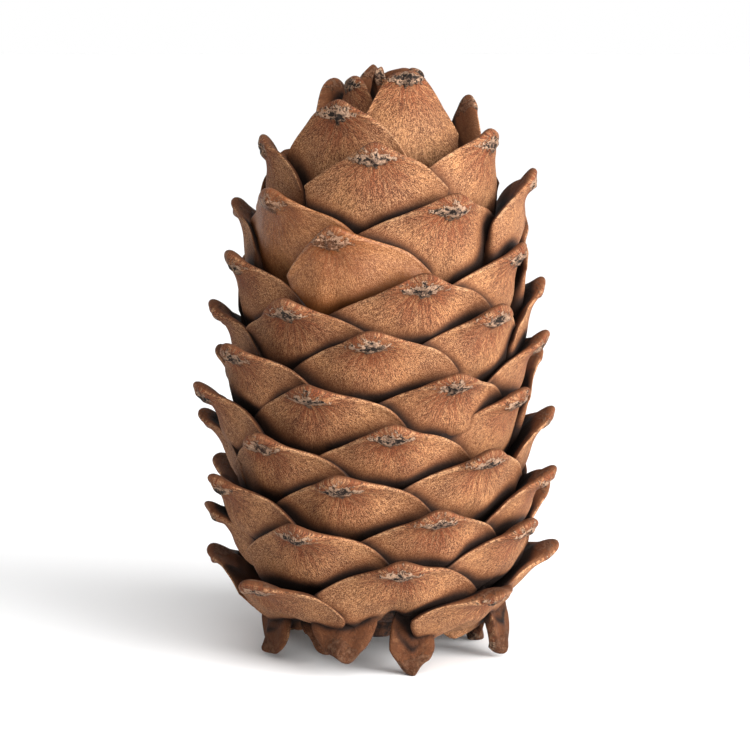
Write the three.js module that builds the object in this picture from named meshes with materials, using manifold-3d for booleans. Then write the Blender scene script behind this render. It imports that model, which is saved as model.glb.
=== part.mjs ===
// A closed pine cone of the stone-pine kind, standing on its bent-back lowest scales.
// Millimetres, +Z up. The origin is on the surface it stands on, under the cone's axis.
// The side that faces the usual viewer is -Y. It all grew as one piece, so it is one solid:
// the woody axis with every scale rooted in it.
import * as THREE from "three";
import { mergeVertices } from "three/addons/utils/BufferGeometryUtils.js";
import Module from "manifold-3d";

// Spiral order: each scale sits one turn further round than the one below it.
const SCALE_COUNT = 85;
const TURN_DEG = 137.42;
const MIDDLE_SCALE = 50;
const MIDDLE_BEARING_DEG = -4.64;

// How the scales change up the cone: pairs of a scale's number, counted from the foot, and its
// value, in millimetres or degrees. Between two pairs the value changes evenly.
const TIP_HEIGHT = [
  [0, 2], [1, -0.3], [5, -0.3], [6, 1.2], [8, 2.6], [9, 9], [10, 12.5], [11, 11.4], [16, 16.2],
  [21, 20.7], [29, 27.5], [37, 34.2], [50, 45.5], [63, 58.7], [71, 68.4], [76, 75.2], [79, 79.2],
  [83, 79.8], [84, 79],
];
const TIP_RADIUS = [
  [0, 13.3], [3, 15.9], [5, 15.8], [6, 18.3], [8, 18.1], [9, 21.3], [10, 23.9], [11, 24.3], [21, 24.9],
  [37, 24.1], [50, 22.9], [63, 21.1], [71, 18.2], [76, 14.1], [78, 10.3], [79, 6.9], [81, 5.1], [84, 2.3],
];
const LEAN_DEG = [
  [0, -140], [5, -140], [8, -125], [9, -40], [10, -16], [11, -26], [13, -20], [16, -6], [50, 2],
  [63, 8], [71, 13], [76, 16], [84, 6],
];
const LENGTH = [[0, 8], [8, 10], [9, 15], [11, 18], [14, 20], [50, 21], [71, 22], [79, 19], [84, 14]];
const HALF_WIDTH = [
  [0, 3.5], [8, 4.8], [9, 9], [14, 11.8], [50, 11.8], [63, 11.2], [71, 9.6], [76, 8.2], [79, 6.8],
  [84, 2.8],
];
const CORNER_DROP = [
  [0, 3], [8, 4], [10, 6], [14, 6.8], [50, 6.8], [63, 6.8], [71, 6.2], [76, 8], [79, 10], [84, 6],
];
const FLARE = [
  [0, 0.9], [8, 1.05], [9, 2.6], [11, 3.7], [50, 3.9], [63, 3.5], [71, 3], [76, 2.3], [78, 1.4], [79, 0.25],
  [84, 0.35],
];
const TUCK = [[0, 0.05], [8, 0.1], [10, 0.6], [12, 0.72], [76, 0.72], [79, 0.3], [84, 0.3]];
const BLUNTNESS = [[0, 0], [70, 0], [76, 0.3], [79, 1], [84, 0.5]];
const SIDE_SHIFT = [[0, 0], [66, 0], [79, 1.2], [84, 1.2]];

// Scales that grew a little off the spiral: degrees round, millimetres out and millimetres up.
const STRAYS = new Map([
  [11, [6, 0, 0]], [13, [5, 0, -0.8]], [16, [4.5, 0, 0.4]], [18, [0, 0, 2.2]], [19, [0, 0, 1.2]],
  [21, [3, 0, 0.4]], [23, [0, 0, 2]], [24, [-3, 0, 0]], [26, [2, 0.6, 0.8]], [29, [-1.5, 0, 0.3]],
  [31, [0, 0, 3]], [32, [-4, 0, 0.4]], [34, [2.5, 0, 0.6]], [37, [-4.5, 0, 0.2]], [39, [0, 1.1, 1.2]],
  [40, [-3, -1, 0.5]], [42, [1, 0, 0.6]], [43, [0, 1, 0.8]], [45, [-2, 0, -0.6]], [47, [2, 1, 0.5]],
  [50, [2.5, 0, 0.7]], [53, [-2, 0, 0.3]], [55, [4, 0, -0.7]], [56, [0, 1, -1.4]], [58, [1, 0, -0.3]],
  [60, [3, 0, -0.6]], [61, [-2, 0, -0.5]], [63, [1.5, 0, 0.7]], [64, [0, 2, -1.2]], [66, [-4.5, 0, 0.9]],
  [68, [2, 0, -1.1]], [69, [0, 2, -0.5]], [71, [-4, 0, 1.5]], [73, [0, 0, -1]], [74, [7, 0, -1.3]],
  [76, [5, 0, 0]], [77, [0, -1, -1.1]], [78, [0, -2, 0]], [81, [0, 0, -1]], [84, [-14, 0, 0.6]],
]);
const ON_THE_SPIRAL = [0, 0, 0];

// Form of one scale: the bent-out beak at its tip and its thickness from the rim inwards.
const BEAK_HALF_WIDTH = 4.4;
const BEAK_LENGTH = 3.2;
const HOOK_SHARE = 0.15;
const HOOK_LENGTH = 0.8;
const TUCK_POWER = 3.4;
const TUCK_GAIN = 1.3;
const RIM_SHARE_OF_DEPTH = 0.6;
const SIDE_FALL = 0.5;
const TILT = 0.15;
const TILT_FROM = 2.5;
const RIM_THICKNESS = 1.3;
const TIP_EXTRA_THICKNESS = 0.9;
const BODY_EXTRA_THICKNESS = 2.9;
const THICKENING_LENGTH = 4;
const ROOT_WEDGE = 0.4;
const NARROWEST_WRAP = 4.5;
const ROOT_NARROWING = 1.04;
const SLOPE_STEP = 0.02;
const SLOPE_FROM = 0.5;

// Form of the rim, as shares of the drop at the corners: both halves slope away from the tip,
// and the right one less at first and then more steeply.
const SOFT_TIP = 0.02;
const LEFT_SLOPE = 0.95;
const LEFT_TURN_DOWN = 0.2;
const LEFT_TURN_POWER = 4;
const RIGHT_SLOPE = 0.5;
const RIGHT_TURN_DOWN = 0.5;
const RIGHT_TURN_POWER = 5;
const BLUNT_POWER = 3;

// Lines of each scale's net: across from its left corner to its right, along from root to rim.
const LINES_ACROSS = [-1, -0.4, 0, 0.35, 0.75, 1];
const LINES_ALONG = [0.34, 0.63, 0.85, 1];

// The woody axis with the stub of its stalk: radius and height.
const AXIS_PROFILE = [
  [0, 1.5], [2.6, 1.5], [3.2, 4.5], [10, 5.5], [16, 10], [18.2, 20], [16.6, 45], [14.4, 59], [11.5, 68],
  [7.5, 74], [0, 77],
];
const AXIS_SIDES = 12;

const FLOOR_BLOCK = 80;
const TIDY_TOLERANCE = 0.05;
const WOOD = { color: 0x9c6a45, roughness: 0.78, metalness: 0 };

const wasm = await Module();
wasm.setup();

function valueAt(stations, number) {
  const next = Math.max(1, stations.findIndex(([station]) => station >= number));
  const [low, lowValue] = stations[next - 1];
  const [high, highValue] = stations[next];
  return lowValue + ((highValue - lowValue) * (number - low)) / (high - low);
}

function scaleAt(number) {
  const [round, out, up] = STRAYS.get(number) ?? ON_THE_SPIRAL;
  const turn = MIDDLE_BEARING_DEG + TURN_DEG * (number - MIDDLE_SCALE) + round;
  return {
    bearing: THREE.MathUtils.degToRad(turn),
    height: valueAt(TIP_HEIGHT, number) + up,
    radius: valueAt(TIP_RADIUS, number) + out,
    lean: THREE.MathUtils.degToRad(valueAt(LEAN_DEG, number)),
    length: valueAt(LENGTH, number),
    halfWidth: valueAt(HALF_WIDTH, number),
    drop: valueAt(CORNER_DROP, number),
    flare: valueAt(FLARE, number),
    tuck: valueAt(TUCK, number),
    blunt: valueAt(BLUNTNESS, number),
    shift: valueAt(SIDE_SHIFT, number),
  };
}

// How far the rim has dropped below the tip, as a share of the drop at the corners.
function rimDrop(u, blunt) {
  const soft = Math.sqrt(u * u + SOFT_TIP) - Math.sqrt(SOFT_TIP);
  const right = RIGHT_SLOPE * soft + RIGHT_TURN_DOWN * u ** RIGHT_TURN_POWER;
  const left = LEFT_SLOPE * soft + LEFT_TURN_DOWN * u ** LEFT_TURN_POWER;
  const edge = u > 0 ? right : left;
  return edge * (1 - blunt) + blunt * Math.abs(u) ** BLUNT_POWER;
}

// The outer face of a scale at u across and v from root to rim, out from and up to its tip.
function outerFace(scale, u, v) {
  const drop = scale.drop * rimDrop(u, scale.blunt);
  const below = (1 - v) * scale.length + v * drop;
  const across = u * scale.halfWidth * Math.sqrt(1 - ((1 - v) / ROOT_NARROWING) ** 2);
  const fromRim = (1 - v) * (scale.length - drop);
  const nearTip = Math.exp(-((across / BEAK_HALF_WIDTH) ** 2));
  const bend = Math.exp(-fromRim / BEAK_LENGTH) + HOOK_SHARE * Math.exp(-fromRim / HOOK_LENGTH);
  const depth = (RIM_SHARE_OF_DEPTH * fromRim + (1 - RIM_SHARE_OF_DEPTH) * below) / scale.length;
  const tuck = scale.tuck * scale.length * TUCK_GAIN * depth ** TUCK_POWER;
  const tilt = TILT * Math.max(0, fromRim - TILT_FROM);
  const out = scale.flare * (nearTip * bend - 1) - tuck - SIDE_FALL * u * u - tilt;
  return { out, up: -below, across, fromRim, nearTip };
}

// A point of the scale's slab: w is 1 on the outer face and -1 on the inner one.
function scalePoint(scale, u, v, w) {
  const face = outerFace(scale, u, v);
  const lower = outerFace(scale, u, v - SLOPE_STEP);
  const slope = v > SLOPE_FROM ? Math.atan((face.out - lower.out) / (face.up - lower.up)) : 0;
  const inside = 1 - Math.exp(-face.fromRim / THICKENING_LENGTH);
  const thickness = RIM_THICKNESS + TIP_EXTRA_THICKNESS * face.nearTip * (1 - inside)
    + BODY_EXTRA_THICKNESS * inside + ROOT_WEDGE * Math.max(0, face.fromRim - THICKENING_LENGTH);
  const inward = (thickness * (1 - w)) / 2;
  const out = face.out - inward * Math.cos(slope);
  const up = face.up + inward * Math.sin(slope);
  const radius = scale.radius + out * Math.cos(scale.lean) - up * Math.sin(scale.lean);
  const height = scale.height + up * Math.cos(scale.lean) + out * Math.sin(scale.lean);
  const wrap = Math.max(NARROWEST_WRAP, scale.radius - scale.flare);
  const angle = scale.bearing + face.across / wrap;
  return [scale.shift + radius * Math.sin(angle), -radius * Math.cos(angle), height];
}

function solidFrom(geometry) {
  geometry.deleteAttribute("normal");
  geometry.deleteAttribute("uv");
  const merged = mergeVertices(geometry);
  const mesh = new wasm.Mesh({
    numProp: 3,
    vertProperties: new Float32Array(merged.attributes.position.array),
    triVerts: new Uint32Array(merged.index.array),
  });
  return new wasm.Manifold(mesh);
}

function scaleSolid(number) {
  const scale = scaleAt(number);
  const cellsAcross = LINES_ACROSS.length - 1;
  const cellsAlong = LINES_ALONG.length - 1;
  const slab = new THREE.BoxGeometry(cellsAcross, cellsAlong, 2, cellsAcross, cellsAlong, 1);
  const place = slab.attributes.position;
  for (let i = 0; i < place.count; i += 1) {
    const u = LINES_ACROSS[Math.round(place.getX(i) + cellsAcross / 2)];
    const v = LINES_ALONG[Math.round(place.getY(i) + cellsAlong / 2)];
    place.setXYZ(i, ...scalePoint(scale, u, v, place.getZ(i)));
  }
  return solidFrom(slab);
}

function axisSolid() {
  const profile = AXIS_PROFILE.map(([radius, height]) => new THREE.Vector2(radius, height));
  const lathe = new THREE.LatheGeometry(profile, AXIS_SIDES);
  lathe.rotateX(Math.PI / 2);
  return solidFrom(lathe);
}

function floorBlock() {
  const block = new THREE.BoxGeometry(FLOOR_BLOCK, FLOOR_BLOCK, FLOOR_BLOCK);
  block.translate(0, 0, -FLOOR_BLOCK / 2);
  return solidFrom(block);
}

// The feet are cut level where they stand, gaps that closed up between scales are filled, and
// the middle of the cone's width and depth is put over the origin.
function coneGeometry() {
  let cone = axisSolid();
  for (let number = 0; number < SCALE_COUNT; number += 1) {
    cone = cone.add(scaleSolid(number));
  }
  cone = cone.subtract(floorBlock()).simplify(TIDY_TOLERANCE);
  const bodies = cone.decompose();
  const largest = bodies.reduce((best, body) => (body.volume() > best.volume() ? body : best));
  const mesh = largest.getMesh();
  const geometry = new THREE.BufferGeometry();
  geometry.setAttribute("position", new THREE.BufferAttribute(mesh.vertProperties, mesh.numProp));
  geometry.setIndex(new THREE.BufferAttribute(mesh.triVerts, 1));
  geometry.computeBoundingBox();
  const middle = geometry.boundingBox.getCenter(new THREE.Vector3());
  geometry.translate(-middle.x, -middle.y, 0);
  return geometry;
}

const model = new THREE.Group();
const cone = new THREE.Mesh(coneGeometry(), new THREE.MeshStandardMaterial(WOOD));
cone.name = "cone";
model.add(cone);

export default model;
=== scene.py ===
# A closed pine cone of the stone-pine kind, standing on its bent-back lowest scales.
# The rules of growth are in millimetres and degrees, and the meshes in metres: +Z up, -Y to the viewer.
import random
from math import atan, cos, exp, pi, radians, sin, sqrt

import bmesh
import bpy
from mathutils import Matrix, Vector, noise
from mathutils.bvhtree import BVHTree


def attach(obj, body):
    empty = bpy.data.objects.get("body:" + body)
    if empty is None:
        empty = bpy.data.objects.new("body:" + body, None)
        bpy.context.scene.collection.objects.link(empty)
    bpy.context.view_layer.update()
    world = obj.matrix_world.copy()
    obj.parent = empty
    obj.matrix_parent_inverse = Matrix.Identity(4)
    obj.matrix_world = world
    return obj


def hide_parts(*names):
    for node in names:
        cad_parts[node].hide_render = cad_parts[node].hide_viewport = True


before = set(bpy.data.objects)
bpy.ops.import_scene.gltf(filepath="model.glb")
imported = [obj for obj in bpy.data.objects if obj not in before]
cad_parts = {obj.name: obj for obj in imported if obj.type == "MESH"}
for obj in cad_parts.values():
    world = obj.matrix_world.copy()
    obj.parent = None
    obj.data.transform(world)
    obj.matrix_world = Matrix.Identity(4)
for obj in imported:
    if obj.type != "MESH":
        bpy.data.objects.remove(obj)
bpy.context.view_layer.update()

MM = 0.001

# Spiral order: each scale sits one turn further round than the one below it.
SCALE_COUNT = 85
TURN_DEG = 137.42
MIDDLE_SCALE = 50
MIDDLE_BEARING_DEG = -4.64
LAST_FOOT = 8
FIRST_CROWN_SCALE = 80
RESIN_SCALES = (63, 68)

# How the scales change up the cone: pairs of a scale's number, counted from the foot, and its value.
# Between two pairs the value changes evenly.
TIP_HEIGHT = [
    (0, 2), (1, -0.3), (5, -0.3), (6, 1.2), (8, 2.6), (9, 9), (10, 12.5), (11, 11.4), (16, 16.2),
    (21, 20.7), (29, 27.5), (37, 34.2), (50, 45.5), (63, 58.7), (71, 68.4), (76, 75.2), (79, 79.2),
    (83, 79.8), (84, 79),
]
TIP_RADIUS = [
    (0, 14), (3, 16.6), (5, 16.5), (6, 19), (8, 18.8), (9, 22), (10, 24.6), (11, 25), (21, 25.6),
    (37, 24.8), (50, 23.6), (63, 21.8), (71, 18.9), (76, 14.8), (78, 11), (79, 7.6), (81, 5.8), (84, 3),
]
LEAN_DEG = [
    (0, -140), (5, -140), (8, -125), (9, -40), (10, -16), (11, -26), (13, -20), (16, -6), (50, 2),
    (63, 8), (71, 13), (76, 16), (79, 25), (84, 12),
]
LENGTH = [
    (0, 8), (8, 10), (9, 9.5), (11, 10), (16, 11.5), (18, 15), (21, 19.5), (50, 21), (71, 22), (79, 19),
    (84, 14),
]
HALF_WIDTH = [
    (0, 3.5), (8, 4.8), (9, 9), (14, 11.8), (50, 11.8), (63, 12), (71, 10.8), (76, 8.4), (79, 6.8),
    (84, 2.8),
]
CORNER_DROP = [
    (0, 3), (8, 4), (10, 6), (14, 6.2), (50, 6.2), (63, 6.2), (71, 5.6), (76, 8), (79, 10), (84, 6),
]
FLARE = [
    (0, 1), (8, 1.2), (9, 3), (11, 4.2), (50, 4.4), (63, 4), (71, 3.4), (76, 2.6), (78, 1.6), (79, 0.3),
    (84, 0.4),
]
# How far its root curves in, as a share of its length.
TUCK = [(0, 0.05), (8, 0.1), (10, 0.6), (12, 0.72), (76, 0.72), (79, 0.3), (84, 0.3)]
BODY_EXTRA_THICKNESS = [(0, 2.2), (70, 2.2), (76, 3.2), (79, 4.2), (84, 2.5)]
# From 0, a rim with a pointed tip, to 1, an evenly round one.
BLUNTNESS = [(0, 0), (70, 0), (76, 0.3), (79, 1), (84, 0.5)]
# How far it stands to the right, because the crown grew a little askew.
SIDE_SHIFT = [(0, 0), (66, 0), (79, 1.2), (84, 1.2)]
SCAR_HALF_WIDTH = [(0, 1.6), (8, 1.8), (12, 2.9), (60, 2.8), (74, 2.4), (79, 3.1), (84, 1.2)]
# How much of it is made, from the tip down: the rest of its root is inside the cone.
MADE_LENGTH = [(0, 13), (71, 13), (76, 19), (84, 19)]

# Scales that grew a little off the spiral: degrees round, millimetres out and millimetres up.
STRAYS = {
    11: (6, 0, 0), 13: (5, 0, -0.8), 16: (4.5, 0, 0.4), 18: (0, -1.2, 2.2), 19: (0, 0, 1.2),
    21: (3, 0, 0.4), 23: (0, 0, 2), 24: (-3, 0, 0), 26: (2, 0.6, 0.8), 29: (-1.5, 0, 0.3),
    31: (0, 0, 3), 32: (-4, 0, 0.4), 34: (2.5, 0, 0.6), 37: (-4.5, 0, 0.2), 39: (0, 1.1, 1.2),
    40: (-3, -1, 0.5), 42: (1, 0, 0.6), 43: (0, 1, 0.8), 45: (-2, 0, -0.6), 47: (2, 1, 0.5),
    50: (2.5, 0, 0.7), 53: (-2, 0, 0.3), 55: (4, 0, -0.7), 56: (0, 1, -1.4), 58: (1, 0, -0.3),
    60: (3, 0, -0.6), 61: (-2, 0, -0.5), 63: (1.5, 0, 0.7), 64: (0, 2, -1.2), 66: (-4.5, 0, 0.9),
    68: (2, 0, -1.1), 69: (0, 2, -0.5), 71: (-4, 0, 1.5), 73: (0, 0, -1.0), 74: (7, 0.8, -1.3),
    76: (5, 0, 0), 78: (0, -2, 0), 81: (0, 0, -1), 83: (0, 1, 0), 84: (-14, 0, 0.6),
}
ON_THE_SPIRAL = (0, 0, 0)
# Scales that grew to another form: shares of what the rules give.
ODD_FORMS = {
    3: {"half_width": 0.75}, 5: {"half_width": 1.1}, 6: {"half_width": 0.85},
    11: {"length": 1.35, "tuck": 0.5}, 13: {"length": 1.2},
    58: {"drop": 0.85}, 61: {"drop": 0.8}, 63: {"left_width": 0.58}, 66: {"drop": 0.85},
    68: {"half_width": 1.1}, 71: {"half_width": 0.86}, 74: {"half_width": 1.15, "drop": 0.8},
    77: {"height": 0.985, "half_width": 0.7}, 78: {"half_width": 0.75},
    79: {"half_width": 0.76, "scar_rise": 2.2},
}

# How far wear has set the tips back, and the share of their flare that it has left.
TIP_WEAR = 0.7
FLARE_WEAR = 0.88
# How much more the feet are crumpled than the other scales.
FOOT_CRUMPLE = 5

# The least and the most of what differs by chance from scale to scale.
DROP_SHARES = (0.95, 1.05)
SHOULDERS = (0.30, 0.46)
LEFT_SLOPES = (0.66, 0.80)
PEAK_SHARES = (0.6, 1.3)
SCAR_WIDTH_SHARES = (0.85, 1.15)
SCAR_RISE_SHARES = (0.6, 1.3)
SCAR_SIDES = (-0.4, 0.4)
SWELL_SHARES = (0.7, 1.3)
SEED_STEP = 3.7

# Form of the rim: how it turns down towards the corners on either side of the tip.
RIGHT_TURN_DOWN = 0.5
RIGHT_TURN_POWER = 5
LEFT_TURN_DOWN = 0.2
LEFT_TURN_POWER = 4
BLUNT_POWER = 3
SOFT_TIP = 0.02
PEAK = 0.11
PEAK_HALF_WIDTH = 0.2
RIM_WAVE = 0.07
RIM_WAVES = 3.2

# Form of one scale: the bent-out beak at its tip, the rolled lip of its rim and how it curves inwards.
BEAK_HALF_WIDTH = 4.4
BEAK_LENGTH = 3.2
HOOK_SHARE = 0.15
HOOK_LENGTH = 0.8
TUCK_POWER = 3.4
TUCK_GAIN = 1.3
RIM_SHARE_OF_DEPTH = 0.6
SIDE_FALL = 0.35
CORNER_FALL = 0.1
TILT = 0.15
TILT_FROM = 2.5
LIP = 0.7
LIP_LENGTH = 1.3
LIP_WAVE = 0.45
LIP_WAVE_SIZE = 2.4
NARROWEST_WRAP = 4.5
ROOT_NARROWING = 1.04
SLOPE_STEP = 0.02
SLOPE_FROM = 0.5

# Its thickness from the rim inwards.
RIM_THICKNESS = 0.5
TIP_EXTRA_THICKNESS = 0.35
THICKENING_LENGTH = 4
ROOT_WEDGE = 0.18
ROOT_WEDGE_START = 6
KNOB = 0.3
KNOB_HALF_WIDTH = 1.8
KNOB_LENGTH = 1.5
BEVEL = 0.18
TIP_BEVEL = 0.35
INNER_BEVEL = 0.25

# Relief of the outer face, and the wrinkles of the inner one.
SWELL = 0.3
SWELL_SIZE = 5.5
DENT = 0.09
DENT_SIZE = 1.9
HOLLOW = 0.3
HOLLOW_DOWN = 3.6
HOLLOW_HALF_HEIGHT = 1.3
HOLLOW_HALF_WIDTH = 3.4
PILLOW = 0.7
PILLOW_DOWN = 6.5
PILLOW_HALF_HEIGHT = 3.2
PILLOW_HALF_WIDTH = 5.5
SCAR_DOWN = 1.35
SCAR_HALF_HEIGHT = 1.05
SCAR_OUTSIDE = 1.15
SCAR_INSIDE = 0.75
SCAR_RISE = 0.42
SCAR_LUMP = 0.75
SCAR_LUMP_SIZE = 0.7
KEEL = 0.22
KEEL_HALF_WIDTH = 0.3
INNER_WRINKLE = 0.12
INNER_WRINKLE_SIZE = 1.4

# The net of each scale: cells across and along, closer together at the scar and at the rim.
CELLS_ACROSS = 28
CELLS_ALONG = 22
SMALL_CELLS_ACROSS = 20
SMALL_CELLS_ALONG = 16
DEEPEST_ROOT = 0.05
MIDDLE_CROWDING = 0.5
RIM_CROWDING = 1.35


def value_at(stations, number):
    for (low, low_value), (high, high_value) in zip(stations, stations[1:]):
        if number <= high:
            return low_value + (high_value - low_value) * (number - low) / (high - low)
    return stations[-1][1]


def smooth_step(low, high, value):
    share = min(1, max(0, (value - low) / (high - low)))
    return share * share * (3 - 2 * share)


# A scale's measures, with the small differences that each one grew with.
def scale_at(number):
    around, out, up = STRAYS.get(number, ON_THE_SPIRAL)
    draw = random.Random(number)
    scale = {
        "seed": number * SEED_STEP,
        "bearing": radians(MIDDLE_BEARING_DEG + TURN_DEG * (number - MIDDLE_SCALE) + around),
        "height": value_at(TIP_HEIGHT, number) + up,
        "radius": value_at(TIP_RADIUS, number) - TIP_WEAR + out,
        "lean": radians(value_at(LEAN_DEG, number)),
        "length": value_at(LENGTH, number),
        "half_width": value_at(HALF_WIDTH, number),
        "left_width": 1,
        "drop": value_at(CORNER_DROP, number) * draw.uniform(*DROP_SHARES),
        "flare": value_at(FLARE, number) * FLARE_WEAR,
        "tuck": value_at(TUCK, number),
        "body": value_at(BODY_EXTRA_THICKNESS, number),
        "blunt": value_at(BLUNTNESS, number),
        "shift": value_at(SIDE_SHIFT, number),
        "shoulder": draw.uniform(*SHOULDERS),
        "left_slope": draw.uniform(*LEFT_SLOPES),
        "peak": PEAK * draw.uniform(*PEAK_SHARES),
        "scar_half_width": value_at(SCAR_HALF_WIDTH, number) * draw.uniform(*SCAR_WIDTH_SHARES),
        "scar_rise": SCAR_RISE * draw.uniform(*SCAR_RISE_SHARES),
        "scar_side": draw.uniform(*SCAR_SIDES),
        "swell": SWELL * draw.uniform(*SWELL_SHARES),
        "crumple": FOOT_CRUMPLE if number <= LAST_FOOT else 1,
    }
    for measure, share in ODD_FORMS.get(number, {}).items():
        scale[measure] *= share
    return scale


# How far the rim has dropped below the tip, as a share of the drop at the corners. Both halves slope
# away from the tip, and the right one less at first and then more steeply.
def rim_drop(scale, u):
    soft = sqrt(u * u + SOFT_TIP) - sqrt(SOFT_TIP)
    if u > 0:
        edge = scale["shoulder"] * soft + RIGHT_TURN_DOWN * abs(u) ** RIGHT_TURN_POWER
    else:
        edge = scale["left_slope"] * soft + LEFT_TURN_DOWN * u ** LEFT_TURN_POWER
    edge += scale["peak"] * (1 - exp(-(u / PEAK_HALF_WIDTH) ** 2))
    edge += RIM_WAVE * abs(u) * noise.noise(Vector((u * RIM_WAVES, 0, scale["seed"])))
    return edge * (1 - scale["blunt"]) + scale["blunt"] * abs(u) ** BLUNT_POWER


# The smooth outer face of a scale at u across and v from root to rim, out from and up to its tip.
def outer_face(scale, u, v):
    drop = scale["drop"] * rim_drop(scale, u)
    below = (1 - v) * scale["length"] + v * drop
    across = u * scale["half_width"] * sqrt(1 - ((1 - v) / ROOT_NARROWING) ** 2)
    across *= scale["left_width"] if u < 0 else 1
    from_rim = (1 - v) * (scale["length"] - drop)
    near_tip = exp(-(across / BEAK_HALF_WIDTH) ** 2)
    bend = exp(-from_rim / BEAK_LENGTH) + HOOK_SHARE * exp(-from_rim / HOOK_LENGTH)
    depth = (RIM_SHARE_OF_DEPTH * from_rim + (1 - RIM_SHARE_OF_DEPTH) * below) / scale["length"]
    tuck = scale["tuck"] * scale["length"] * TUCK_GAIN * depth ** TUCK_POWER
    sides = (SIDE_FALL * u ** 2 + CORNER_FALL * u ** 4) * scale["crumple"]
    tilt = TILT * max(0, from_rim - TILT_FROM)
    wave = LIP_WAVE * scale["crumple"] * noise.noise(Vector((across / LIP_WAVE_SIZE, 0, scale["seed"])))
    lip = (LIP * (1 - near_tip) + wave) * exp(-from_rim / LIP_LENGTH)
    out = scale["flare"] * (near_tip * bend - 1) - tuck - sides - tilt + lip
    return out, -below, across, from_rim, near_tip


# Smooth noise over a scale's face. Each kind of relief takes a layer of its own.
SWELL_LAYER, DENT_LAYER, LUMP_LAYER, WRINKLE_LAYER = range(4)


def lumps(scale, across, along, size, layer):
    return noise.noise(Vector((across / size, along / size, scale["seed"] + layer)))


# What stands on the smooth outer face: swells and dents, the hollow under the scar, and the scar.
def relief(scale, across, from_rim, below):
    swell = scale["swell"] * sqrt(scale["crumple"])
    height = swell * lumps(scale, across, from_rim, SWELL_SIZE, SWELL_LAYER)
    height += DENT * scale["crumple"] * lumps(scale, across, from_rim, DENT_SIZE, DENT_LAYER)
    hollow_across = across / HOLLOW_HALF_WIDTH
    hollow_down = (below - HOLLOW_DOWN) / HOLLOW_HALF_HEIGHT
    height -= HOLLOW * exp(-hollow_across ** 2 - hollow_down ** 2)
    pillow_across = across / PILLOW_HALF_WIDTH
    pillow_down = (from_rim - PILLOW_DOWN) / PILLOW_HALF_HEIGHT
    height += PILLOW * exp(-pillow_across ** 2 - pillow_down ** 2)
    from_middle = across - scale["scar_side"]
    outside = abs(from_middle / scale["scar_half_width"]) + abs(below - SCAR_DOWN) / SCAR_HALF_HEIGHT
    scar = smooth_step(SCAR_OUTSIDE, SCAR_INSIDE, outside)
    lump = SCAR_LUMP * lumps(scale, across, below, SCAR_LUMP_SIZE, LUMP_LAYER)
    keel = KEEL * exp(-(from_middle / KEEL_HALF_WIDTH) ** 2)
    return height + scar * (scale["scar_rise"] + lump + keel)


def bevel(width, from_rim):
    share = min(1, max(0, 1 - from_rim / width))
    return width * (1 - sqrt(1 - share * share))


# A point of the scale: side is 1 on the outer face and -1 on the inner one.
def scale_point(scale, u, v, side):
    out, up, across, from_rim, near_tip = outer_face(scale, u, v)
    below = -up
    lower_out, lower_up, *_ = outer_face(scale, u, v - SLOPE_STEP)
    slope = atan((out - lower_out) / (up - lower_up)) if v > SLOPE_FROM else 0
    inside = 1 - exp(-from_rim / THICKENING_LENGTH)
    thickness = RIM_THICKNESS + TIP_EXTRA_THICKNESS * near_tip * (1 - inside)
    thickness += scale["body"] * inside + ROOT_WEDGE * max(0, from_rim - ROOT_WEDGE_START)
    thickness += KNOB * exp(-(across / KNOB_HALF_WIDTH) ** 2 - from_rim / KNOB_LENGTH)
    if side > 0:
        width = BEVEL + (TIP_BEVEL - BEVEL) * near_tip
        inward = bevel(width, from_rim) - relief(scale, across, from_rim, below)
    else:
        wrinkle = INNER_WRINKLE * lumps(scale, across, from_rim, INNER_WRINKLE_SIZE, WRINKLE_LAYER)
        inward = thickness - bevel(INNER_BEVEL, from_rim) + wrinkle
    out -= inward * cos(slope)
    up += inward * sin(slope)
    radius = scale["radius"] + out * cos(scale["lean"]) - up * sin(scale["lean"])
    height = scale["height"] + up * cos(scale["lean"]) + out * sin(scale["lean"])
    wrap = max(NARROWEST_WRAP, scale["radius"] - scale["flare"])
    angle = scale["bearing"] + across / wrap
    place = Vector((scale["shift"] + radius * sin(angle), -radius * cos(angle), max(0, height)))
    return place * MM, (across, from_rim, side), below


def link(name, data):
    holder = bpy.data.objects.new(name, data)
    bpy.context.scene.collection.objects.link(holder)
    return holder


# Turns a closed net's faces outwards, makes it smooth and gives it one live subdivision.
def finished_piece(name, net, material):
    bmesh.ops.recalc_face_normals(net, faces=net.faces[:])
    if net.calc_volume(signed=True) < 0:
        bmesh.ops.reverse_faces(net, faces=net.faces[:])
    for face in net.faces:
        face.smooth = True
    mesh = bpy.data.meshes.new(name)
    net.to_mesh(mesh)
    net.free()
    mesh.materials.append(material)
    piece = link(name, mesh)
    finer = piece.modifiers.new("finer", "SUBSURF")
    finer.levels = finer.render_levels = 1
    return piece


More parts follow.
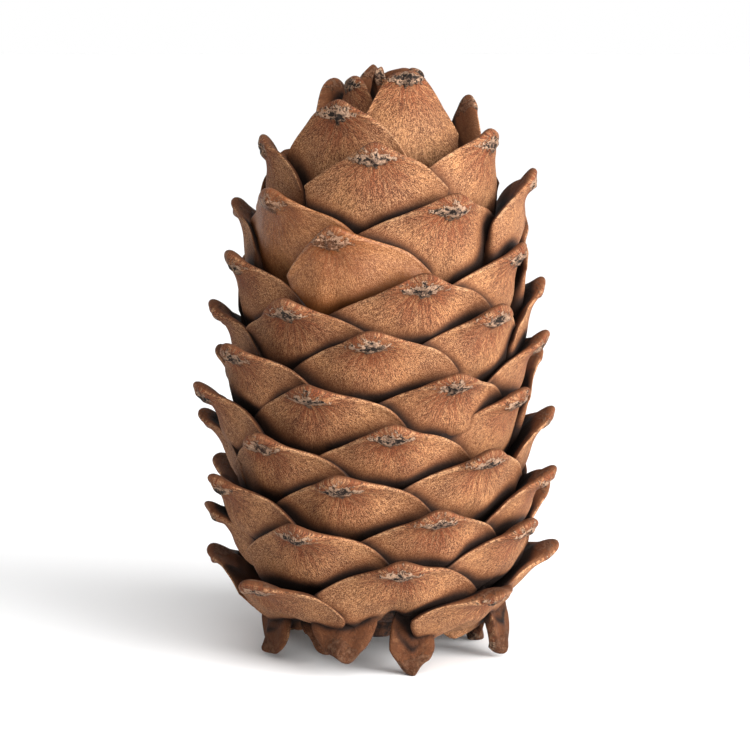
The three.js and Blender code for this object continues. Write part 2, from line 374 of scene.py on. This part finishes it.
# One scale: a flat net thickened to a slab, then every corner of the net put where the rule says.
# Each corner also keeps where on the scale it is, for the wood's pattern.
def make_scale(number, material):
    scale = scale_at(number)
    small = number <= LAST_FOOT or number >= FIRST_CROWN_SCALE
    cells_across = SMALL_CELLS_ACROSS if small else CELLS_ACROSS
    cells_along = SMALL_CELLS_ALONG if small else CELLS_ALONG
    root_line = max(DEEPEST_ROOT, 1 - value_at(MADE_LENGTH, number) / scale["length"])
    net = bmesh.new()
    bmesh.ops.create_grid(net, x_segments=cells_across, y_segments=cells_along, size=1)
    side = net.verts.layers.float.new("side")
    spot = net.verts.layers.float_vector.new("spot")
    habit = net.verts.layers.float_vector.new("habit")
    for corner in net.verts:
        corner[side] = -1
    thickened = bmesh.ops.extrude_face_region(net, geom=net.faces[:])
    for part in thickened["geom"]:
        if isinstance(part, bmesh.types.BMVert):
            part[side] = 1
    for corner in net.verts:
        u = corner.co.x * (MIDDLE_CROWDING + (1 - MIDDLE_CROWDING) * corner.co.x ** 2)
        to_rim = (1 - (corner.co.y + 1) / 2) ** RIM_CROWDING
        v = 1 - (1 - root_line) * to_rim
        corner.co, where, below = scale_point(scale, u, v, corner[side])
        corner[spot] = where
        # The middle value is filled in later with the painted shade of the gaps.
        corner[habit] = (below, 0, scale["seed"])
    net.verts.layers.float.remove(side)
    return finished_piece(f"scale_{number:02d}", net, material)


# The woody axis with the stub of its stalk: radius and height.
AXIS_PROFILE = [
    (0, 1.5), (2.2, 1.5), (2.9, 2.4), (3.2, 4.5), (6, 5.0), (10, 5.5), (14, 9), (15.2, 20), (14.6, 45),
    (12.4, 59), (9.5, 68), (5.5, 73), (0, 75),
]
AXIS_STEPS = 40
WELD_DISTANCE = 0.01


def make_axis(material):
    net = bmesh.new()
    corners = [net.verts.new((radius * MM, 0, height * MM)) for radius, height in AXIS_PROFILE]
    for low, high in zip(corners, corners[1:]):
        net.edges.new((low, high))
    bmesh.ops.spin(net, geom=net.verts[:] + net.edges[:], cent=(0, 0, 0), axis=(0, 0, 1), angle=2 * pi,
                   steps=AXIS_STEPS, use_merge=True, use_duplicate=False)
    bmesh.ops.remove_doubles(net, verts=net.verts[:], dist=WELD_DISTANCE * MM)
    return finished_piece("axis", net, material)


# How shut in each corner of the scales' nets is, for the painted shade in the gaps.
NOOK_REACH = 5
NOOK_FADE = 1.6
NOOK_START = 0.12
NOOK_RAYS = 12
NOOK_SPREADS = (0.7, 1.5)
NOOK_GAIN = 3
NOOK_SMOOTHINGS = 2


# Each corner's value averaged with those of its neighbours along the net's edges.
def smoothed(mesh, values):
    totals = list(values)
    counts = [1] * len(values)
    for edge in mesh.edges:
        one, other = edge.vertices
        totals[one] += values[other]
        totals[other] += values[one]
        counts[one] += 1
        counts[other] += 1
    return [total / count for total, count in zip(totals, counts)]


# How much of what a corner faces is close by: 0 in the open and 1 in a narrow gap.
def shut_in_at(corner, tree):
    normal = corner.normal
    start = corner.co + normal * (NOOK_START * MM)
    aside = normal.orthogonal()
    other = normal.cross(aside)
    shut = 0
    for ray in range(NOOK_RAYS):
        turn = 2 * pi * ray / NOOK_RAYS
        spread = NOOK_SPREADS[ray % len(NOOK_SPREADS)]
        way = normal + (aside * cos(turn) + other * sin(turn)) * spread
        *_, distance = tree.ray_cast(start, way.normalized(), NOOK_REACH * MM)
        if distance is not None:
            shut += exp(-distance / (NOOK_FADE * MM)) / NOOK_RAYS
    return min(1, shut * NOOK_GAIN)


# Bakes into each scale's corners how shut in they are, for the painted shade of the gaps.
def paint_nook_shade(scales, axis):
    corners = []
    faces = []
    for piece in [*scales, axis]:
        first = len(corners)
        corners.extend(corner.co.copy() for corner in piece.data.vertices)
        faces.extend([first + corner for corner in face.vertices] for face in piece.data.polygons)
    tree = BVHTree.FromPolygons(corners, faces)
    for piece in scales:
        shut_in = [shut_in_at(corner, tree) for corner in piece.data.vertices]
        for _ in range(NOOK_SMOOTHINGS):
            shut_in = smoothed(piece.data, shut_in)
        for note, shut in zip(piece.data.attributes["habit"].data, shut_in):
            note.vector = (note.vector[0], shut, note.vector[2])


# Small helpers for the node trees. Each returns the socket of what it makes.
class Finish:
    def __init__(self, name):
        self.material = bpy.data.materials.new(name)
        self.material.use_nodes = True
        self.tree = self.material.node_tree
        self.shader = self.tree.nodes["Principled BSDF"].inputs

    def put(self, socket, value):
        if isinstance(value, bpy.types.NodeSocket):
            self.tree.links.new(value, socket)
        else:
            socket.default_value = value

    def add(self, kind, inputs=(), **settings):
        node = self.tree.nodes.new(kind)
        for name, value in settings.items():
            setattr(node, name, value)
        for name, value in dict(inputs).items():
            self.put(node.inputs[name], value)
        return node

    def math(self, operation, *values):
        node = self.add("ShaderNodeMath", operation=operation)
        for socket, value in zip(node.inputs, values):
            self.put(socket, value)
        return node.outputs[0]

    # The share that a value gives. A course says where it starts and ends, and the share at either end.
    def share(self, value, course, strength=1.0):
        start, end, at_start, at_end = course
        node = self.add("ShaderNodeMapRange", {"Value": value, "From Min": start, "From Max": end,
                        "To Min": at_start * strength, "To Max": at_end * strength},
                        interpolation_type="SMOOTHSTEP")
        return node.outputs["Result"]

    def mix(self, factor, first, second):
        node = self.add("ShaderNodeMix", data_type="RGBA")
        self.put(node.inputs["Factor"], factor)
        colours = [socket for socket in node.inputs if socket.type == "RGBA"]
        self.put(colours[0], first)
        self.put(colours[1], second)
        return next(socket for socket in node.outputs if socket.type == "RGBA")

    # Lays a tint over the colour, as strong as a value's course says.
    def tinted(self, colour, tint, value, course, strength=1.0):
        return self.mix(self.share(value, course, strength), colour, tint)

    def join(self, x, y, z):
        return self.add("ShaderNodeCombineXYZ", {"X": x, "Y": y, "Z": z}).outputs[0]

    def grain(self, place, scale, detail=2.0, roughness=0.5, distortion=0.0):
        node = self.add("ShaderNodeTexNoise", {"Vector": place, "Scale": scale, "Detail": detail,
                        "Roughness": roughness, "Distortion": distortion})
        return node.outputs[0]

    # Strokes that fan out: how many fit round the fan, and how short they are along it.
    def strokes(self, fan, reach, seed, count, shortness, kind):
        place = self.join(self.math("MULTIPLY", fan, count), self.math("MULTIPLY", reach, shortness), seed)
        return self.grain(place, **kind)

    def vector(self, attribute):
        node = self.add("ShaderNodeAttribute", attribute_name=attribute)
        parts = self.add("ShaderNodeSeparateXYZ", {"Vector": node.outputs["Vector"]})
        return parts.outputs

    def millimetres(self):
        place = self.add("ShaderNodeTexCoord").outputs["Object"]
        node = self.add("ShaderNodeVectorMath", {"Scale": 1 / MM}, operation="SCALE")
        self.put(node.inputs[0], place)
        return node.outputs[0]

    def bump(self, height, depth, normal=None):
        inputs = {"Height": height, "Distance": depth * MM, "Strength": 1.0}
        if normal is not None:
            inputs["Normal"] = normal
        return self.add("ShaderNodeBump", inputs).outputs[0]


TAN = (0.36, 0.150, 0.055, 1)
BROWN = (0.14, 0.045, 0.015, 1)
DARK = (0.04, 0.012, 0.005, 1)
RUST = (0.19, 0.050, 0.016, 1)
PALE = (0.48, 0.265, 0.135, 1)
# Near black: the painted shade in the gaps and on the deep inner sides, and the darkest of the axis's wood.
CREVICE = (0.008, 0.003, 0.0015, 1)
INNER = (0.10, 0.034, 0.012, 1)
SCAR_GREY = (0.125, 0.075, 0.053, 1)
SCAR_BEIGE = (0.36, 0.22, 0.14, 1)
# Black of the scar's cracks, and of the painted shadow under its lip.
SCAR_BLACK = (0.010, 0.006, 0.004, 1)
RESIN = (0.26, 0.08, 0.017, 1)

# The kinds of grain in the wood, over places in millimetres.
STREAK_GRAIN = {"scale": 1.0, "detail": 5.0, "roughness": 0.65}
DASH_GRAIN = {"scale": 1.0, "detail": 3.0, "roughness": 0.7}
SPECK_GRAIN = {"scale": 9.0, "detail": 1.0, "roughness": 0.5}
CLOUD_GRAIN = {"scale": 0.22, "detail": 3.0, "roughness": 0.55}
RAGGED_GRAIN = {"scale": 1.6, "detail": 3.0, "roughness": 0.6}
CRACK_GRAIN = {"scale": 1.7, "detail": 4.0, "roughness": 0.7, "distortion": 0.6}
CREASE_GRAIN = {"scale": 0.9, "detail": 6.0, "roughness": 0.7, "distortion": 0.8}
AXIS_GRAIN = {"scale": 1.2, "detail": 4.0, "roughness": 0.65}
FLOOR_GRAIN = {"scale": 0.01}

# The strokes fan out from a point a little above the scar.
FAN_START = 0.6
STREAK_COUNT = 10.0
STREAK_SHORTNESS = 0.35
DASH_COUNT = 62.0
DASH_SHORTNESS = 2.0
# Turns a scale's seed into a tone of its own, from 0 to 1.
TONE_STEP = 0.618

# The courses of the tints: where each starts and ends, and how strong it is at either end.
CLOUDS = (0.35, 0.72, 0.0, 1.0)
WORN_PATCHES = (0.35, 0.55, 0.3, 1.0)
PALE_AWAY_FROM_RIM = (5.0, 11.0, 0.0, 0.25)
BROWN_STREAKS = (0.47, 0.60, 0.0, 0.5)
BROWN_SIDES = (5.0, 10.5, 0.0, 0.55)
BROWN_TONES = (0.0, 1.0, 0.0, 0.25)
PALE_DASHES = (0.38, 0.48, 0.35, 0.0)
PALE_SPECKS = (0.5, 0.59, 0.0, 0.5)
WORN_RIM = (0.1, 0.45, 1.0, 0.0)
WORN_RIM_STREAKS = (0.42, 0.56, 0.6, 0.05)
RUST_BY_SCAR = (1.0, 7.0, 1.0, 0.0)
RUST_STREAKS = (0.42, 0.56, 0.25, 1.0)
DARK_DASHES = (0.50, 0.58, 0.0, 0.85)
DARK_BY_SCAR = (3.0, 9.0, 1.0, 0.5)
DARK_SPECKS = (0.40, 0.5, 0.75, 0.0)
PALE_CREASES = (0.36, 0.47, 0.5, 0.0)
DARK_CREASES = (0.48, 0.60, 0.0, 1.0)
INNER_SIDE = (-1.0, 0.2, 0.8, 0.0)
# Painted shade: a corner goes browner and then near black as its neighbours shut it in.
BROWN_NOOKS = (0.05, 0.6, 0.0, 0.75)
BLACK_NOOKS = (0.26, 0.8, 0.0, 0.98)

# The scar: its painted width, how ragged its outline is, its beige ridges and black cracks, and the painted
# shadow under its lip.
PAINTED_SCAR_HALF_WIDTH = 2.6
SCAR_RAGGEDNESS = (0.25, 0.75, -0.45, 0.45)
SCAR_EDGE = (0.9, 1.1, 1.0, 0.0)
BEIGE_EDGE = (0.3, 0.8, 0.0, 1.0)
BEIGE_RIDGES = (0.5, 0.7, 0.0, 0.6)
CRACK_SPREAD = (0.2, 0.9, 0.05, -0.03)
BLACK_CRACKS = (0.45, 0.50, 0.97, 0.0)
# Painted shadow: the scar darkens to black towards its lower edge, under the lip.
BLACK_UNDERSIDE = (0.4, 0.8, 0.0, 0.7)

# Painted shade: the inner side is painted near black this far from the rim in the middle of the scale, and
# sooner at its sides, which are given by the square of the way across.
HIDDEN_DEPTH = 3.0
HIDDEN_MIDDLE = (4.0, 36.0, 1.0, 0.0)
HIDDEN_EDGE = (-0.6, 0.4, 0.0, 1.0)
HIDDEN_SIDE = (-0.6, 0.8, 1.0, 0.0)

# How deep the pattern stands in the wood, in millimetres.
STREAK_DEPTH = 0.10
DASH_DEPTH = 0.05
SPECK_DEPTH = 0.05
SCAR_DEPTH = 0.5
CREASE_DEPTH = 1.0
AXIS_DEPTH = 0.6

DRY_ROUGHNESS = 0.8
RESIN_ROUGHNESS = 0.42
WORN_ROUGHNESS = 0.85
WOOD_SHINE = 0.2
RESIN_SHARE = 0.25
FOOT_WEAR = 0.8


# How black the painted shade on the deep part of a scale's inner side is.
def hidden_share(wood, across, down, side):
    across_squared = wood.math("MULTIPLY", across, across)
    middle = wood.share(across_squared, HIDDEN_MIDDLE)
    beyond = wood.math("SUBTRACT", down, wood.math("MULTIPLY", middle, HIDDEN_DEPTH))
    return wood.math("MULTIPLY", wood.share(beyond, HIDDEN_EDGE), wood.share(side, HIDDEN_SIDE))


# The scar's colour, from its grey heart to its beige ridges with black cracks between them, with a painted
# shadow darkening its lower part under the lip.
def bark_colour(wood, outline, crack, below_scar):
    bark = wood.mix(wood.share(outline, BEIGE_EDGE), SCAR_GREY, SCAR_BEIGE)
    bark = wood.tinted(bark, SCAR_BEIGE, crack, BEIGE_RIDGES)
    crack_edge = wood.math("SUBTRACT", crack, wood.share(outline, CRACK_SPREAD))
    bark = wood.tinted(bark, SCAR_BLACK, crack_edge, BLACK_CRACKS)
    return wood.tinted(bark, SCAR_BLACK, below_scar, BLACK_UNDERSIDE)


def scale_wood(name, roughness, resin=0.0, wear=0.0):
    wood = Finish(name)
    across, down, side = wood.vector("spot")
    below, nook, seed = wood.vector("habit")
    place = wood.millimetres()
    below_scar = wood.math("SUBTRACT", below, SCAR_DOWN)
    aside = wood.math("ABSOLUTE", across)
    fan = wood.math("ARCTAN2", across, wood.math("ADD", below_scar, FAN_START))
    reach = wood.math("SQRT", wood.math("ADD", wood.math("MULTIPLY", across, across),
                                        wood.math("MULTIPLY", below_scar, below_scar)))
    tone = wood.math("FRACT", wood.math("MULTIPLY", seed, TONE_STEP))
    streak = wood.strokes(fan, reach, seed, STREAK_COUNT, STREAK_SHORTNESS, STREAK_GRAIN)
    dash = wood.strokes(fan, reach, seed, DASH_COUNT, DASH_SHORTNESS, DASH_GRAIN)
    speck = wood.grain(place, **SPECK_GRAIN)
    ragged = wood.grain(place, **RAGGED_GRAIN)
    crack = wood.grain(place, **CRACK_GRAIN)
    creases = wood.grain(place, **CREASE_GRAIN) if wear else None

    colour = wood.mix(wood.share(wood.grain(place, **CLOUD_GRAIN), CLOUDS), TAN, BROWN)
    if wear:
        colour = wood.tinted(colour, BROWN, ragged, WORN_PATCHES, wear)
    colour = wood.tinted(colour, PALE, down, PALE_AWAY_FROM_RIM)
    colour = wood.tinted(colour, BROWN, streak, BROWN_STREAKS)
    colour = wood.tinted(colour, BROWN, aside, BROWN_SIDES)
    colour = wood.tinted(colour, BROWN, tone, BROWN_TONES)
    colour = wood.tinted(colour, PALE, dash, PALE_DASHES)
    colour = wood.tinted(colour, PALE, speck, PALE_SPECKS)
    worn_rim = wood.math("MULTIPLY", wood.share(down, WORN_RIM), wood.share(streak, WORN_RIM_STREAKS))
    colour = wood.mix(worn_rim, colour, PALE)
    rust = wood.math("MULTIPLY", wood.share(reach, RUST_BY_SCAR), wood.share(streak, RUST_STREAKS))
    colour = wood.mix(rust, colour, RUST)
    dark = wood.math("MULTIPLY", wood.share(dash, DARK_DASHES), wood.share(reach, DARK_BY_SCAR))
    colour = wood.mix(dark, colour, DARK)
    colour = wood.tinted(colour, DARK, speck, DARK_SPECKS)

    outline = wood.math("ADD", wood.math("MULTIPLY", aside, 1 / PAINTED_SCAR_HALF_WIDTH),
                        wood.math("ABSOLUTE", wood.math("MULTIPLY", below_scar, 1 / SCAR_HALF_HEIGHT)))
    outline = wood.math("ADD", outline, wood.share(ragged, SCAR_RAGGEDNESS))
    scar = wood.share(outline, SCAR_EDGE)
    colour = wood.mix(scar, colour, bark_colour(wood, outline, crack, below_scar))
    if wear:
        colour = wood.tinted(colour, PALE, creases, PALE_CREASES, wear)
        colour = wood.tinted(colour, DARK, creases, DARK_CREASES, wear)
    colour = wood.tinted(colour, INNER, side, INNER_SIDE)
    # Painted shade: the deep part of the inner side goes near black.
    colour = wood.mix(hidden_share(wood, across, down, side), colour, CREVICE)
    # Painted shade in the gaps: browner and then near black where a corner is shut in.
    colour = wood.tinted(colour, BROWN, nook, BROWN_NOOKS)
    colour = wood.tinted(colour, CREVICE, nook, BLACK_NOOKS)
    if resin:
        colour = wood.mix(resin, colour, RESIN)

    normal = wood.bump(streak, STREAK_DEPTH)
    normal = wood.bump(dash, DASH_DEPTH, normal)
    normal = wood.bump(speck, SPECK_DEPTH, normal)
    normal = wood.bump(wood.math("MULTIPLY", scar, crack), SCAR_DEPTH, normal)
    if wear:
        normal = wood.bump(creases, CREASE_DEPTH * wear, normal)
    wood.put(wood.shader["Base Color"], colour)
    wood.put(wood.shader["Normal"], normal)
    wood.put(wood.shader["Roughness"], roughness)
    wood.put(wood.shader["Specular IOR Level"], WOOD_SHINE)
    return wood.material


AXIS_TINT = (0.3, 0.7, 0.0, 1.0)
AXIS_ROUGHNESS = 0.85


def axis_wood():
    wood = Finish("axis_wood")
    rough = wood.grain(wood.millimetres(), **AXIS_GRAIN)
    wood.put(wood.shader["Base Color"], wood.mix(wood.share(rough, AXIS_TINT), CREVICE, INNER))
    wood.put(wood.shader["Normal"], wood.bump(rough, AXIS_DEPTH))
    wood.put(wood.shader["Roughness"], AXIS_ROUGHNESS)
    return wood.material


plain = scale_wood("scale_wood", DRY_ROUGHNESS)
resinous = scale_wood("resinous_scale_wood", RESIN_ROUGHNESS, resin=RESIN_SHARE)
worn = scale_wood("worn_scale_wood", WORN_ROUGHNESS, wear=FOOT_WEAR)
woods = {number: resinous for number in RESIN_SCALES} | {number: worn for number in range(LAST_FOOT + 1)}
scales = [make_scale(number, woods.get(number, plain)) for number in range(SCALE_COUNT)]
axis = make_axis(axis_wood())
# Painted shade for the gaps between the scales, from how shut in each corner is.
paint_nook_shade(scales, axis)
for piece in [*scales, axis]:
    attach(piece, "root")
    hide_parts("cone")

# The pale, level floor.
FLOOR_HALF = 4
FLOOR_GREYS = ((0.93, 0.93, 0.93, 1), (0.95, 0.95, 0.95, 1))
FLOOR_ROUGHNESS = 0.9

floor_mesh = bpy.data.meshes.new("floor")
floor_net = bmesh.new()
bmesh.ops.create_grid(floor_net, x_segments=1, y_segments=1, size=FLOOR_HALF)
floor_net.to_mesh(floor_mesh)
floor_net.free()
floor_finish = Finish("floor_white")
floor_cloud = floor_finish.grain(floor_finish.millimetres(), **FLOOR_GRAIN)
floor_finish.put(floor_finish.shader["Base Color"], floor_finish.mix(floor_cloud, *FLOOR_GREYS))
floor_finish.put(floor_finish.shader["Roughness"], FLOOR_ROUGHNESS)
floor_mesh.materials.append(floor_finish.material)
floor = link("floor", floor_mesh)

# The sky: soft light on the cone, and plain white behind it.
WHITE = (1, 1, 1, 1)
SKY_STRENGTH = 0.36

world = bpy.data.worlds.new("studio")
bpy.context.scene.world = world
world.use_nodes = True
sky = world.node_tree.nodes["Background"]
sky.inputs["Color"].default_value = WHITE
sky.inputs["Strength"].default_value = SKY_STRENGTH
backdrop = world.node_tree.nodes.new("ShaderNodeBackground")
backdrop.inputs["Color"].default_value = WHITE
seen = world.node_tree.nodes.new("ShaderNodeLightPath")
choice = world.node_tree.nodes.new("ShaderNodeMixShader")
world.node_tree.links.new(seen.outputs["Is Camera Ray"], choice.inputs["Fac"])
world.node_tree.links.new(sky.outputs["Background"], choice.inputs[1])
world.node_tree.links.new(backdrop.outputs["Background"], choice.inputs[2])
world.node_tree.links.new(choice.outputs["Shader"], world.node_tree.nodes["World Output"].inputs["Surface"])

MIDDLE = Vector((0, 0, 0.04))


def face_along(holder, way):
    holder.rotation_euler = way.to_track_quat("-Z", "Y").to_euler()


# A soft window near the cone, at its front right.
WINDOW_PLACE = Vector((0.42, -0.30, 0.12))
WINDOW_WATTS = 7.0
WINDOW_SIZE = 0.35

window_lamp = bpy.data.lights.new("window", "AREA")
window_lamp.energy = WINDOW_WATTS
window_lamp.size = WINDOW_SIZE
window = link("window", window_lamp)
window.location = WINDOW_PLACE
face_along(window, MIDDLE - WINDOW_PLACE)

# Broad light from the front right and a little from behind, the same all over the floor: which way it
# shines, how strong it is and how many degrees of the sky it fills.
BROAD_LIGHTS = {
    "daylight": ((-0.42, 0.74, -0.62), 3.2, 80),
    "backlight": ((0.15, -0.8, -0.5), 0.8, 90),
}
for name, (way, energy, angle) in BROAD_LIGHTS.items():
    lamp = bpy.data.lights.new(name, "SUN")
    lamp.energy = energy
    lamp.angle = radians(angle)
    face_along(link(name, lamp), Vector(way))

# The camera: as far and as high as the photograph was taken from.
PIXELS_WIDE = 750
MM_PER_PIXEL = 0.1361
CAMERA_DISTANCE = 330
CAMERA_ELEVATION = radians(8.33)
SENSOR_WIDTH = 36
NEAREST_SEEN = 0.01
AIM = Vector((-0.4, 0, 38.3)) * MM

lens = bpy.data.cameras.new("camera")
lens.sensor_width = SENSOR_WIDTH
lens.lens = lens.sensor_width * CAMERA_DISTANCE / MM_PER_PIXEL / PIXELS_WIDE
lens.clip_start = NEAREST_SEEN
camera = link("camera", lens)
camera.location = MIDDLE + Vector((0, -cos(CAMERA_ELEVATION), sin(CAMERA_ELEVATION))) * CAMERA_DISTANCE * MM
face_along(camera, AIM - camera.location)
bpy.context.scene.camera = camera
bpy.context.scene.view_settings.view_transform = "Standard"
